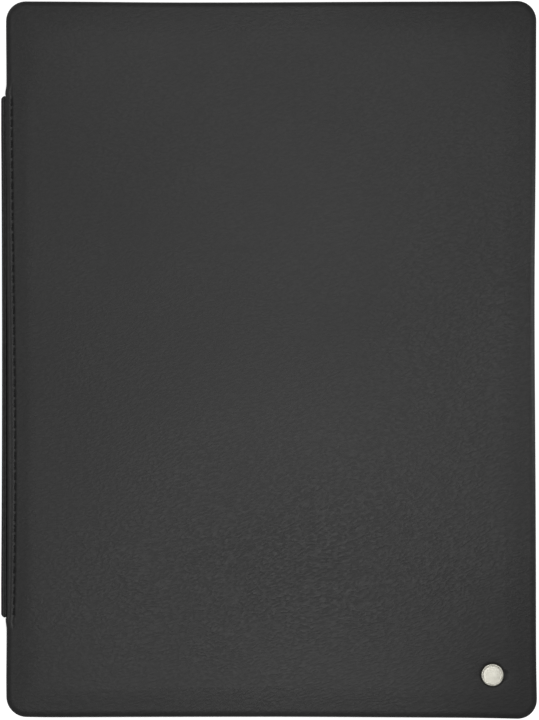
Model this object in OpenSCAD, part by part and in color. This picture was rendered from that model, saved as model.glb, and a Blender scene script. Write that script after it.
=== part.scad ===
// Leather folio case for a tablet.
// Lies on its back: +X to the right of the closed cover, +Y to its top edge, +Z up out of the cover.
// The origin is the middle of the outline, on the surface the case lies on.

/* [Tablet] */
// Width of the tablet that the tray holds
tab_w = 209; // [190:0.5:220]
// Length of the tablet
tab_l = 287; // [260:0.5:300]
// Thickness of the tablet
tab_t = 9.3; // [7:0.1:11]
// Corner radius of the tablet
tab_r = 6; // [5:0.1:8]

/* [Tray] */
// Room left round the tablet
tab_gap = 0.3; // [0.1:0.05:0.5]
// Wall of the moulded tray
shell_wall = 1.4; // [1:0.1:2]
// Floor of the moulded tray
shell_floor = 1.8; // [1.6:0.1:2.4]
// Thickness of the leather
leather = 1; // [0.8:0.1:1.2]
// Thickness of the microfibre linings
lining = 0.6; // [0.4:0.1:0.8]
// How far the corner lips reach over the tablet
lip = 1.2; // [0.8:0.1:1.8]
// Length of a corner lip along each edge
lip_l = 30; // [20:1:36]

/* [Cover] */
// Overhang of the cover past the tray, top and bottom
cover_over = 3.3; // [2.5:0.1:4]
// Corner radius of the cover
cover_r = 8.3; // [7.5:0.1:10]
// Stiff board inside the cover
board_t = 1.2; // [1:0.1:1.6]
// Padding over the board
foam_t = 0.7; // [0.7:0.1:1]
// Radius where the leather rolls over the cover's edge
roll_r = 1.8; // [1.7:0.1:2]
// Width of the sewn flange on the hinge side
flange_w = 4.6; // [4.4:0.1:5]
// How much lower the sewn flange lies than the padded panel
flange_dip = 0.5; // [0.3:0.1:0.6]

/* [Hinge strip] */
// Length of the hinge strip
strip_l = 217.6; // [180:0.1:225]
// Middle of the strip above the middle of the case
strip_y = 1.2; // [-4:0.1:4]
// Radius of the rolled bead at each crease
bead_r = 0.95; // [0.9:0.01:1]
// Clearance of a bead in its flap
bead_gap = 0.05; // [0.02:0.01:0.1]

/* [Stitching] */
// Number of stitches in each row
stitch_n = 50; // [30:1:60]
// Radius of the thread
thread_r = 0.35; // [0.25:0.01:0.4]

/* [Badge] */
// Diameter of the badge
badge_d = 9.2; // [8:0.1:12]
// Badge from the middle of the cover, across
badge_x = 92.1; // [70:0.1:95]
// Badge from the middle of the cover, along
badge_y = -131.3; // [-135:0.1:135]

/* [Hidden] */
$fn = 64;

// tray outline
cav_w = tab_w + 2*tab_gap;             // cavity
cav_l = tab_l + 2*tab_gap;
cav_r = tab_r + tab_gap;
sh_w = cav_w + 2*shell_wall;           // shell
sh_l = cav_l + 2*shell_wall;
sh_r = cav_r + shell_wall;
tr_w = sh_w + 2*leather;               // wrap
tr_l = sh_l + 2*leather;
tr_r = sh_r + leather;

// heights
z_floor = leather;                     // underside of the shell
z_in = z_floor + shell_floor;          // inside face of the shell
z_seat = z_in + lining;                // what the tablet rests on
z_tab = z_seat + tab_t;                // glass of the tablet
z_wall = z_tab - 0.3;                  // side walls of the shell
z_lip0 = z_tab + 0.1;                  // corner lips
z_lip1 = z_lip0 + 0.8;
z_wrap = z_wall - 0.4;                 // wrap along the sides
z_wrap_c = z_lip1 - 0.4;               // wrap at the corners
z_cov = z_lip1 + 0.3;                  // underside of the closed cover
z_hem = z_cov + lining;                // board starts
z_brd = z_hem + board_t;               // padding starts
z_pad = z_brd + foam_t;                // leather starts
z_top = z_pad + leather;               // top of the cover
z_flg = z_top - flange_dip;            // top of the sewn flange

// cover outline
cov_w = tr_w + 2*cover_over;
cov_l = tr_l + 2*cover_over;
edge = 1.25;                           // cover's hinge edge to the crease axis
strip_out = edge + bead_r;             // strip stands this far out of the cover
cov_x = strip_out/2;                   // middle of the cover
cov_left = cov_x - cov_w/2;
cov_right = cov_x + cov_w/2;

// crease axes, both along Y
ax_x = cov_left - edge;
ax_lo = z_floor + 0.5;
ax_hi = z_hem + 0.7;
groove_r = bead_r + bead_gap;
strip_y0 = strip_y - strip_l/2;
strip_y1 = strip_y + strip_l/2;
tongue = 0.5;                          // half height of a flap's tongue
slab_gap = 1.3;                        // axis to the flat of the strip

// cut-outs in the tray: [middle, length]
ports = [45, 50];                      // right wall
buttons = [-45, 50];                   // top wall
connector = [0, 110];                  // bottom wall
notch_z = z_seat + 1.2;
cam = [78, 124];                       // camera window
cam_l = 30;
cam_w = 15;

// rows of stitching
row_y0 = strip_y0 + 0.6;
pitch = (strip_l - 1.2)/stitch_n;
rear_row_x = -tr_w/2 + 3;
// the visible row wanders away from the edge towards its lower end
function row_in(t) = 2.28 + 0.85*t + 0.88*sin(180*pow(t, 1.75));

leather_col = [0.20, 0.20, 0.21];
shell_col = [0.10, 0.10, 0.11];
lining_col = [0.24, 0.24, 0.26];
board_col = [0.42, 0.38, 0.33];
foam_col = [0.30, 0.30, 0.31];
thread_col = [0.06, 0.06, 0.06];
metal_col = [0.86, 0.85, 0.79];
magnet_col = [0.62, 0.63, 0.65];

// rectangle with round corners, about the origin
module rrect(w, l, r) {
    square([w - 2*r, l], center = true);
    square([w, l - 2*r], center = true);
    for (x = [-1, 1], y = [-1, 1])
        translate([x*(w/2 - r), y*(l/2 - r)]) circle(r);
}

// flat plate with round corners between two heights
module plate(w, l, r, z0, z1)
    translate([0, 0, z0]) linear_extrude(z1 - z0) rrect(w, l, r);

// slot with round ends, along X
module stadium(l, w) {
    square([l - w, w], center = true);
    for (s = [-1, 1]) translate([s*(l - w)/2, 0]) circle(w/2);
}

module box(x0, x1, y0, y1, z0, z1)
    translate([x0, y0, z0]) cube([x1 - x0, y1 - y0, z1 - z0]);

// one straight side of a rim: the section's X runs outwards, its Y up
module side(len) rotate([90, 0, 0])
    translate([0, 0, -len/2]) linear_extrude(len) children();

// four corners of a rim with corner radius r
module corners(w, l, r)
    for (k = [0:3]) {
        sx = (k == 0 || k == 3) ? 1 : -1;
        sy = k < 2 ? 1 : -1;
        translate([sx*(w/2 - r), sy*(l/2 - r), 0])
            rotate(90*k) rotate_extrude(angle = 90) children();
    }

// section of the shell: floor, wall and the lip over the tablet, outside edge rounded
module shell_section() difference() {
    union() {
        translate([0, z_floor]) square([sh_r - 1, 1]);
        translate([sh_r - 1, z_floor + 1]) circle(1);
        translate([0, z_floor + 1]) square([sh_r, z_lip1 - z_floor - 1]);
    }
    translate([-1, z_in]) square([cav_r + 1, z_lip0 - z_in]);
    translate([-1, z_in]) square([cav_r - lip + 1, z_lip1]);
}

// section of the back leather: floor and rolled outside edge
module back_section() difference() {
    union() {
        square([tr_r - 2, 2]);
        intersection() {
            translate([tr_r - 2, 2]) circle(2);
            translate([tr_r - 2, 0]) square([2, 2]);
        }
    }
    translate([-1, z_floor]) square([sh_r, 1.5]);
    translate([sh_r - 1, z_floor + 1]) circle(1);
}

// section of the leather band round the wall
module band_section()
    translate([sh_r, 2]) square([leather, z_wrap_c - 2]);

// section of the cover's leather: top, rolled edge, wall and hem.
// dip lowers the outer flange below the padded panel
module cover_section(dip) {
    r = cover_r;
    ro = roll_r - 0.4*dip;
    t = z_top - dip;
    difference() {
        union() {
            translate([0, z_cov]) square([r - ro, t - z_cov]);
            translate([0, z_cov + 0.8]) square([r, t - ro - z_cov - 0.8]);
            translate([r - ro, t - ro]) circle(ro);
            translate([0, z_cov]) square([r - 0.8, 0.8]);
            translate([r - 0.8, z_cov + 0.8]) circle(0.8);
            if (dip > 0) translate([0, z_cov]) square([r - flange_w, z_top - z_cov]);
        }
        translate([-1, z_hem]) square([1 + r - leather, t - ro - z_hem]);
        translate([-1, z_hem]) square([1 + r - ro, t - leather - z_hem]);
        translate([r - ro, t - ro]) circle(ro - leather);
        translate([-1, z_cov - 1]) square([1 + r - 4, z_hem - z_cov + 1.1]);
        if (dip > 0) translate([-1, z_hem]) square([1 + r - flange_w - 0.4, z_pad - z_hem]);
    }
}

// one stitch: a closed loop of thread through the layers, along Y
module stitch(len, z0, z1) {
    for (z = [z0, z1]) translate([0, -len/2, z]) rotate([-90, 0, 0]) cylinder(r = thread_r, h = len);
    for (s = [-1, 1]) translate([0, s*(len/2 - thread_r), z0]) cylinder(r = 0.8*thread_r, h = z1 - z0);
}

// ---------------------------------------------------------------- rear half

module rear_shell() color(shell_col) difference() {
    union() {
        box(-sh_w/2 + sh_r, sh_w/2 - sh_r, -sh_l/2 + sh_r, sh_l/2 - sh_r, z_floor, z_in);
        corners(sh_w, sh_l, sh_r) shell_section();
        for (a = [0, 180]) rotate(a) {
            translate([sh_w/2 - sh_r, 0, 0]) side(sh_l - 2*sh_r) shell_section();
            rotate(90) translate([sh_l/2 - sh_r, 0, 0]) side(sh_w - 2*sh_r) shell_section();
        }
        // rim round the camera window, down through the wrap
        translate([cam[0], cam[1], 0.2]) linear_extrude(z_in - 0.7) stadium(cam_l + 1.6, cam_w + 1.6);
    }
    translate([cam[0], cam[1], -1]) linear_extrude(8) stadium(cam_l, cam_w);
    // the lips clip over the four corners only
    box(-sh_w, sh_w, -sh_l/2 + lip_l, sh_l/2 - lip_l, z_wall, z_lip1 + 1);
    box(-sh_w/2 + lip_l, sh_w/2 - lip_l, -sh_l, sh_l, z_wall, z_lip1 + 1);
    // rebate for the lower hinge flap
    box(-sh_w/2 - 1, -sh_w/2 + 11.3, strip_y0 - 0.2, strip_y1 + 0.2, z_floor - 1, z_floor + 1);
    // ports, buttons and connector
    box(sh_w/2 - 6, sh_w/2 + 1, ports[0] - ports[1]/2, ports[0] + ports[1]/2, notch_z, z_lip1 + 1);
    box(buttons[0] - buttons[1]/2, buttons[0] + buttons[1]/2, sh_l/2 - 6, sh_l/2 + 1, notch_z, z_lip1 + 1);
    box(connector[0] - connector[1]/2, connector[0] + connector[1]/2, -sh_l/2 - 1, -sh_l/2 + 6, notch_z, z_lip1 + 1);
}

// four corners and four sides of a rim of the wrap's size
module wrap_rim() {
    corners(tr_w, tr_l, tr_r) children();
    for (a = [0, 180]) rotate(a) {
        translate([tr_w/2 - tr_r, 0, 0]) side(tr_l - 2*tr_r) children();
        rotate(90) translate([tr_l/2 - tr_r, 0, 0]) side(tr_w - 2*tr_r) children();
    }
}

// slot for the lower hinge flap
module flap_slot()
    box(-tr_w/2 - 1, -tr_w/2 + 2.5, strip_y0 - 0.2, strip_y1 + 0.2, z_floor, z_floor + 1.05);

module rear_leather() color(leather_col) difference() {
    union() {
        box(-tr_w/2 + tr_r, tr_w/2 - tr_r, -tr_l/2 + tr_r, tr_l/2 - tr_r, 0, z_floor);
        wrap_rim() back_section();
    }
    flap_slot();
    translate([cam[0], cam[1], -1]) linear_extrude(3) stadium(cam_l + 1.8, cam_w + 1.8);
    // groove that keeps the stitching off the surface the case lies on
    box(rear_row_x - 0.45, rear_row_x + 0.45, strip_y0 + 0.2, strip_y1 - 0.2, -1, 0.75);
}

module rear_edge_band() color(leather_col) difference() {
    wrap_rim() band_section();
    // lower along the sides than at the corners
    box(-tr_w, tr_w, -tr_l/2 + lip_l + 1, tr_l/2 - lip_l - 1, z_wrap, z_top);
    box(-tr_w/2 + lip_l + 1, tr_w/2 - lip_l - 1, -tr_l, tr_l, z_wrap, z_top);
    flap_slot();
    // ports, buttons and connector, each a little wider than in the shell
    box(tr_w/2 - 3, tr_w/2 + 1, ports[0] - ports[1]/2 - 1, ports[0] + ports[1]/2 + 1, notch_z - 1, z_top);
    box(buttons[0] - buttons[1]/2 - 1, buttons[0] + buttons[1]/2 + 1, tr_l/2 - 3, tr_l/2 + 1, notch_z - 1, z_top);
    box(connector[0] - connector[1]/2 - 1, connector[0] + connector[1]/2 + 1, -tr_l/2 - 1, -tr_l/2 + 3, notch_z - 1, z_top);
}

module rear_lining() color(lining_col) difference() {
    plate(cav_w - 2.6, cav_l - 2.6, cav_r - 1.3, z_in, z_seat);
    translate([cam[0], cam[1], z_in - 1]) linear_extrude(3) stadium(cam_l + 1, cam_w + 1);
}

module rear_hinge_flap() color(leather_col) difference() {
    box(ax_x + 0.5, -sh_w/2 + 11.2, strip_y0, strip_y1, ax_lo - tongue, ax_lo + tongue);
    translate([ax_x, strip_y0 - 1, ax_lo]) rotate([-90, 0, 0]) cylinder(r = groove_r, h = strip_l + 2);
}

module rear_stitching() color(thread_col)
    for (i = [0 : stitch_n - 1])
        translate([rear_row_x, row_y0 + (i + 0.5)*pitch, 0]) stitch(pitch - 0.6, thread_r + 0.01, z_floor + 0.6);

// -------------------------------------------------------------------- spine

module spine_leather() color(leather_col) difference() {
    union() {
        for (z = [ax_lo, ax_hi])
            translate([ax_x, strip_y0, z]) rotate([-90, 0, 0]) cylinder(r = bead_r, h = strip_l);
        box(ax_x - 0.55, ax_x + 0.55, strip_y0, strip_y1, ax_lo, ax_hi);
        box(ax_x - bead_r, ax_x + 0.35, strip_y0, strip_y1, ax_lo + slab_gap, ax_hi - slab_gap);
    }
    // pocket for the stiffener
    box(ax_x - 0.05, ax_x + 1, strip_y0 + 2, strip_y1 - 2, ax_lo + slab_gap + 0.5, ax_hi - slab_gap - 0.5);
    // the neck is flush with the strip's inside face
    box(ax_x + 0.35, ax_x + 1, strip_y0 - 1, strip_y1 + 1, ax_lo + slab_gap, ax_hi - slab_gap);
}

module spine_board() color(board_col)
    box(ax_x - 0.05, ax_x + 0.35, strip_y0 + 2.1, strip_y1 - 2.1, ax_lo + slab_gap + 0.6, ax_hi - slab_gap - 0.6);

module spine_lining() color(lining_col)
    box(ax_x + 0.35, ax_x + 0.85, strip_y0, strip_y1, ax_lo + slab_gap, ax_hi - slab_gap);

// -------------------------------------------------------------------- cover

module cover_leather() color(leather_col) difference() {
    union() {
        translate([cov_x, 0, 0]) {
            box(-cov_w/2 + cover_r, cov_w/2 - cover_r, -cov_l/2 + cover_r, cov_l/2 - cover_r, z_pad, z_top);
            corners(cov_w, cov_l, cover_r) cover_section(0);
            translate([cov_w/2 - cover_r, 0, 0]) side(cov_l - 2*cover_r) cover_section(0);
            for (a = [90, 270]) rotate(a) translate([cov_l/2 - cover_r, 0, 0]) side(cov_w - 2*cover_r) cover_section(0);
        }
        // hinge edge: plain above and below the strip, lower where it is sewn
        translate([cov_left + cover_r, 0, 0]) rotate(180) {
            up = cov_l/2 - cover_r - strip_y1;
            dn = cov_l/2 - cover_r + strip_y0;
            translate([0, -strip_y1 - up/2, 0]) side(up) cover_section(0);
            translate([0, -strip_y0 + dn/2, 0]) side(dn) cover_section(0);
            translate([0, -strip_y, 0]) side(strip_l) cover_section(flange_dip);
        }
    }
    // slot that the upper hinge flap passes through
    box(cov_left - 1, cov_left + 2, strip_y0 + 0.1, strip_y1 - 0.1, ax_hi - tongue - 0.05, ax_hi + tongue + 0.05);
    // seat and bore of the badge
    translate([cov_x + badge_x, badge_y, z_top - 0.5]) cylinder(d = badge_d + 0.2, h = 2);
    translate([cov_x + badge_x, badge_y, z_pad - 1]) cylinder(r = 1.3, h = 4);
}

// room for the flap on the hinge side of a panel
module flap_notch(z0, z1)
    box(cov_left - 1, cov_left + flange_w + 0.6, strip_y0 - 0.4, strip_y1 + 0.4, z0 - 1, z1 + 1);

module cover_foam() color(foam_col) difference() {
    translate([cov_x, 0, 0]) plate(cov_w - 4.4, cov_l - 4.4, cover_r - 2.2, z_brd, z_pad);
    flap_notch(z_brd, z_pad);
    translate([cov_x + badge_x, badge_y, z_brd - 1]) cylinder(d = 7.4, h = 4);
}

mag_x = cov_right - 9;
mag_y = [-90, 0, 90];
sleep_at = [cov_x + 60, 120];

module cover_board() color(board_col) difference() {
    translate([cov_x, 0, 0]) plate(cov_w - 2.2, cov_l - 2.2, cover_r - 1.1, z_hem, z_brd);
    flap_notch(z_hem, z_brd);
    for (y = mag_y) translate([mag_x, y, z_hem + 0.6]) cube([5.2, 22.2, 4], center = true);
    translate([sleep_at[0], sleep_at[1], z_hem - 1]) cylinder(d = 6.2, h = 4);
}

module cover_lining() color(lining_col)
    translate([cov_x, 0, 0]) plate(cov_w - 8.2, cov_l - 8.2, cover_r - 4.1, z_cov, z_hem);

module cover_hinge_flap() color(leather_col) difference() {
    union() {
        box(cov_left + roll_r, cov_left + flange_w + 0.4, strip_y0 + 0.2, strip_y1 - 0.2, z_hem, z_flg - leather);
        box(ax_x + 0.5, cov_left + roll_r + 0.1, strip_y0 + 0.2, strip_y1 - 0.2, ax_hi - tongue, ax_hi + tongue);
    }
    translate([ax_x, strip_y0 - 1, ax_hi]) rotate([-90, 0, 0]) cylinder(r = groove_r, h = strip_l + 2);
}

module cover_stitching() color(thread_col)
    for (i = [0 : stitch_n - 1]) {
        y = row_y0 + (i + 0.5)*pitch;
        translate([cov_left + row_in((strip_y1 - y)/strip_l), y, 0]) stitch(pitch - 0.6, z_cov + 0.1, z_flg);
    }

module closure_magnets() color(magnet_col)
    for (y = mag_y) translate([mag_x, y, (z_hem + z_brd)/2]) cube([5, 22, board_t - 0.1], center = true);

module sleep_magnet() color(magnet_col)
    translate([sleep_at[0], sleep_at[1], z_hem + 0.05]) cylinder(d = 6, h = board_t - 0.1);

// dished disc with a raised rim, post and peened end
module badge_disc() color(metal_col) translate([cov_x + badge_x, badge_y, 0]) rotate_extrude()
    polygon([[0, z_pad - 0.65], [1.8, z_pad - 0.65], [1.8, z_pad - 0.4], [1.25, z_pad - 0.4],
             [1.25, z_top - 0.5], [badge_d/2, z_top - 0.5], [badge_d/2, z_top + 0.15],
             [badge_d/2 - 0.15, z_top + 0.3], [badge_d/2 - 0.55, z_top + 0.3],
             [badge_d/2 - 0.75, z_top + 0.15], [0, z_top + 0.2]]);

module badge_washer() color(metal_col) translate([cov_x + badge_x, badge_y, z_pad - 0.4]) difference() {
    cylinder(r = 3.5, h = 0.4);
    translate([0, 0, -1]) cylinder(r = 1.3, h = 3);
}

rear_shell();
rear_leather();
rear_edge_band();
rear_lining();
rear_hinge_flap();
rear_stitching();
spine_leather();
spine_board();
spine_lining();
cover_leather();
cover_foam();
cover_board();
cover_lining();
cover_hinge_flap();
cover_stitching();
closure_magnets();
sleep_magnet();
badge_disc();
badge_washer();
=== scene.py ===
import math

import bmesh
import bpy
import numpy as np
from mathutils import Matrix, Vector
from mathutils.geometry import delaunay_2d_cdt


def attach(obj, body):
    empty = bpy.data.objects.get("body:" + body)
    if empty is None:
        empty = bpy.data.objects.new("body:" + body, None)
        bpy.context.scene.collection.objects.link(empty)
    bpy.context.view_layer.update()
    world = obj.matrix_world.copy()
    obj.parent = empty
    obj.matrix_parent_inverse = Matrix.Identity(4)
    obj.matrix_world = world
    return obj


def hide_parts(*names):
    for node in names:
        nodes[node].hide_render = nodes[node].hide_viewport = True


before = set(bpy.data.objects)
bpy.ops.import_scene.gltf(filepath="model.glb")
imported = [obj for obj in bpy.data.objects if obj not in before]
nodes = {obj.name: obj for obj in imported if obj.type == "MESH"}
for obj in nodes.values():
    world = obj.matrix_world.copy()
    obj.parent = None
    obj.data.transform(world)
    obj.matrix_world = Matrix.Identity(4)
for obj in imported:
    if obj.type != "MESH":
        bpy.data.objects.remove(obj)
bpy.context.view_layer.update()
rng = np.random.default_rng(7)

# ------------------------------------------------------------------ sizes, mm
# tray
TR_W, TR_L, TR_R = 107.2, 146.2, 8.7        # half width, half length, corner of the leather round the tray
SEAT = 3.4
# cover
CV_X = 1.1                                  # middle of the cover
CV_W, CV_L, CV_R = 110.5, 149.5, 8.3
Z_COV, Z_HEM, Z_PAD, Z_TOP = 13.9, 14.5, 16.4, 17.4
# hinge strip
AX, AX_LO, AX_HI = -110.65, 1.5, 15.2       # crease axes
BEAD, GROOVE = 0.95, 1.0
S0, S1 = -107.6, 110.0                      # ends of the strip
# stitching
ROW0, PITCH, STITCHES = S0 + 0.6, (S1 - S0 - 1.2) / 50, 50
REAR_ROW = -TR_W + 3.0
# badge
BD_X, BD_Y, BD_R = 93.2, -131.3, 4.6
# camera window: middle, then length and width of the slot
CAM = (78.0, 124.0)


def smooth(a, b, x):
    t = np.clip((np.asarray(x, float) - a) / (b - a), 0, 1)
    return t * t * (3 - 2 * t)


def row_in(y):
    """Distance of the visible row of stitches from the cover's hinge edge."""
    t = np.clip((S1 - np.asarray(y, float)) / (S1 - S0), 0, 1)
    return 2.28 + 0.85 * t + 0.88 * np.sin(np.pi * t ** 1.75)


def sewn_in(y):
    """How far the sewn hinge edge is drawn in along the strip."""
    return (-0.16 + 0.18 * smooth(90, 72, y) + 0.36 * smooth(45, 5, y) - 0.06 * smooth(-55, -70, y)
            - 0.20 * smooth(-82, -107, y))


# ------------------------------------------------------------- mesh building
class Build:
    """Vertices in millimetres and faces, gathered patch by patch."""

    def __init__(self):
        self.v, self.f = [], []
        self.n = 0

    def add(self, v, f):
        v = np.asarray(v, float).reshape(-1, 3)
        self.v.append(v)
        self.f += [[i + self.n for i in q] for q in f]
        self.n += len(v)

    def grid(self, p, closed_u=False, closed_v=False):
        """p is an array of rows x columns x 3."""
        nu, nv = p.shape[:2]
        f = []
        for i in range(nu if closed_u else nu - 1):
            a, b = i * nv, ((i + 1) % nu) * nv
            for j in range(nv if closed_v else nv - 1):
                k = (j + 1) % nv
                f.append([a + j, a + k, b + k, b + j])
        self.add(p.reshape(-1, 3), f)

    def fill(self, outer, holes, z):
        """Flat triangles inside a closed loop, less the loops in holes."""
        loops = [np.asarray(outer, float)] + [np.asarray(h, float) for h in holes]
        pts, edges = [], []
        for lp in loops:
            s = len(pts)
            pts += [Vector((float(a), float(b))) for a, b in lp[:, :2]]
            edges += [(s + i, s + (i + 1) % len(lp)) for i in range(len(lp))]
        v, _, faces, *_ = delaunay_2d_cdt(pts, edges, [], 1, 1e-6)
        keep = []
        for q in faces:
            c = np.mean([[v[i].x, v[i].y] for i in q], axis=0)
            if inside(loops[0], c) and not any(inside(h, c) for h in loops[1:]):
                keep.append(list(q))
        self.add([[p.x, p.y, z] for p in v], keep)


def inside(loop, p):
    x, y = loop[:, 0], loop[:, 1]
    x2, y2 = np.roll(x, -1), np.roll(y, -1)
    cross = (y > p[1]) != (y2 > p[1])
    with np.errstate(divide="ignore", invalid="ignore"):
        at = x + (p[1] - y) / (y2 - y) * (x2 - x)
    return np.count_nonzero(cross & (p[0] < at)) % 2 == 1


def piece(name, build, mat, body, stands_for=(), angle=38, merge=2e-6):
    """Makes the object from a Build, welded, with outward normals, and puts it on its body."""
    me = bpy.data.meshes.new(name)
    me.from_pydata((np.vstack(build.v) * 0.001).tolist(), [], build.f)
    bm = bmesh.new()
    bm.from_mesh(me)
    bmesh.ops.remove_doubles(bm, verts=bm.verts, dist=merge)
    bmesh.ops.dissolve_degenerate(bm, edges=bm.edges, dist=1e-7)
    bmesh.ops.recalc_face_normals(bm, faces=bm.faces)
    bm.to_mesh(me)
    bm.free()
    me.polygons.foreach_set("use_smooth", np.ones(len(me.polygons), bool))
    me.set_sharp_from_angle(angle=math.radians(angle))
    me.update()
    o = bpy.data.objects.new(name, me)
    bpy.context.scene.collection.objects.link(o)
    me.materials.append(mat)
    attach(o, body)
    if stands_for:
        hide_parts(*stands_for)
    return o


def perimeter(a, b, xs, ys, nc=12):
    """Stations round a rectangle of half sizes a, b: base points and outward normals, anticlockwise."""
    p, n = [], []

    def corner(cx, cy, a0):
        for k in range(1, nc):
            t = math.radians(a0 + 90 * k / nc)
            p.append((cx, cy)); n.append((math.cos(t), math.sin(t)))

    for y in ys:
        p.append((a, y)); n.append((1, 0))
    corner(a, b, 0)
    for x in xs[::-1]:
        p.append((x, b)); n.append((0, 1))
    corner(-a, b, 90)
    for y in ys[::-1]:
        p.append((-a, y)); n.append((-1, 0))
    corner(-a, -b, 180)
    for x in xs:
        p.append((x, -b)); n.append((0, -1))
    corner(a, -b, 270)
    return np.array(p, float), np.array(n, float)


def spaced(lo, hi, step, fine=()):
    """Numbers from lo to hi about a step apart, closer in the ranges of fine: (from, to, step)."""
    out = [lo]
    while out[-1] < hi - 1e-9:
        s = step
        for f0, f1, fs in fine:
            if f0 - 1e-9 <= out[-1] < f1 - 1e-9:
                s = min(s, fs)
            elif out[-1] < f0:
                s = min(s, max(fs, f0 - out[-1]))
        out.append(out[-1] + s)
    out = np.array(out)
    return lo + (out - lo) * (hi - lo) / (out[-1] - lo)


def stadium(l, w, n=24, at=CAM):
    """Outline of a slot along X with round ends."""
    r, h = w / 2, (l - w) / 2
    p = []
    for k in range(n + 1):
        t = -math.pi / 2 + math.pi * k / n
        p.append((at[0] + h + r * math.cos(t), at[1] + r * math.sin(t)))
    for k in range(n + 1):
        t = math.pi / 2 + math.pi * k / n
        p.append((at[0] - h + r * math.cos(t), at[1] + r * math.sin(t)))
    return np.array(p)


def lift(loop, z):
    loop = np.asarray(loop, float)
    return np.column_stack([loop[:, 0], loop[:, 1], np.full(len(loop), float(z))])


# ------------------------------------------------------------------ materials
def material(name):
    m = bpy.data.materials.new(name)
    m.use_nodes = True
    nt = m.node_tree
    for n in list(nt.nodes):
        nt.nodes.remove(n)
    out = nt.nodes.new("ShaderNodeOutputMaterial")
    bsdf = nt.nodes.new("ShaderNodeBsdfPrincipled")
    nt.links.new(bsdf.outputs[0], out.inputs[0])
    return m, nt, bsdf


class Nodes:
    """Short names for the nodes that the materials use."""

    def __init__(self, nt):
        self.nt = nt

    def new(self, kind, **props):
        n = self.nt.nodes.new(kind)
        for k, v in props.items():
            setattr(n, k, v)
        return n

    def link(self, a, b):
        self.nt.links.new(a, b)

    def put(self, sock, v):
        if hasattr(v, "is_output"):
            self.link(v, sock)
        else:
            sock.default_value = v

    def mm(self, turn=0.0, long=1.0, at=(0, 0)):
        """Coordinates of the piece in millimetres from a point, turned, and drawn out along the turned X."""
        t = self.new("ShaderNodeTexCoord")
        m = self.new("ShaderNodeMapping", vector_type="TEXTURE")
        m.inputs["Location"].default_value = (at[0] * 0.001, at[1] * 0.001, 0)
        m.inputs["Rotation"].default_value = (0, 0, math.radians(turn))
        m.inputs["Scale"].default_value = (0.001 * long, 0.001, 0.001)
        self.link(t.outputs["Object"], m.inputs["Vector"])
        return m.outputs["Vector"]

    def math(self, op, a, b=0.0, c=0.0, clamp=False):
        n = self.new("ShaderNodeMath", operation=op, use_clamp=clamp)
        for i, v in enumerate((a, b, c)):
            self.put(n.inputs[i], v)
        return n.outputs[0]

    def vadd(self, a, b, k):
        """a + (b - 0.5) * k for vectors."""
        s = self.new("ShaderNodeVectorMath", operation="SUBTRACT")
        self.link(b, s.inputs[0]); s.inputs[1].default_value = (0.5, 0.5, 0.5)
        m = self.new("ShaderNodeVectorMath", operation="SCALE")
        self.link(s.outputs[0], m.inputs[0]); m.inputs["Scale"].default_value = k
        d = self.new("ShaderNodeVectorMath", operation="ADD")
        self.link(a, d.inputs[0]); self.link(m.outputs[0], d.inputs[1])
        return d.outputs[0]

    def noise(self, vec, scale, detail=2.0, rough=0.5, distort=0.0):
        n = self.new("ShaderNodeTexNoise")
        self.link(vec, n.inputs["Vector"])
        n.inputs["Scale"].default_value = scale
        n.inputs["Detail"].default_value = detail
        n.inputs["Roughness"].default_value = rough
        n.inputs["Distortion"].default_value = distort
        return n

    def cells(self, vec, scale, feature="DISTANCE_TO_EDGE", rand=1.0):
        n = self.new("ShaderNodeTexVoronoi", feature=feature)
        self.link(vec, n.inputs["Vector"])
        n.inputs["Scale"].default_value = scale
        n.inputs["Randomness"].default_value = rand
        return n

    def span(self, v, a, b, lo=0.0, hi=1.0, kind="SMOOTHSTEP"):
        n = self.new("ShaderNodeMapRange", interpolation_type=kind)
        self.link(v, n.inputs["Value"])
        for s, x in zip(("From Min", "From Max", "To Min", "To Max"), (a, b, lo, hi)):
            n.inputs[s].default_value = x
        return n.outputs["Result"]

    def blend(self, fac, a, b):
        n = self.new("ShaderNodeMix", data_type="RGBA")
        self.put(n.inputs[0], fac)
        self.put(n.inputs[6], a if hasattr(a, "is_output") else (*a, 1))
        self.put(n.inputs[7], b if hasattr(b, "is_output") else (*b, 1))
        return n.outputs[2]

    def bump(self, height, strength, mm, normal=None):
        n = self.new("ShaderNodeBump")
        n.inputs["Strength"].default_value = strength
        n.inputs["Distance"].default_value = mm * 0.001
        self.link(height, n.inputs["Height"])
        if normal is not None:
            self.link(normal, n.inputs["Normal"])
        return n.outputs[0]


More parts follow.
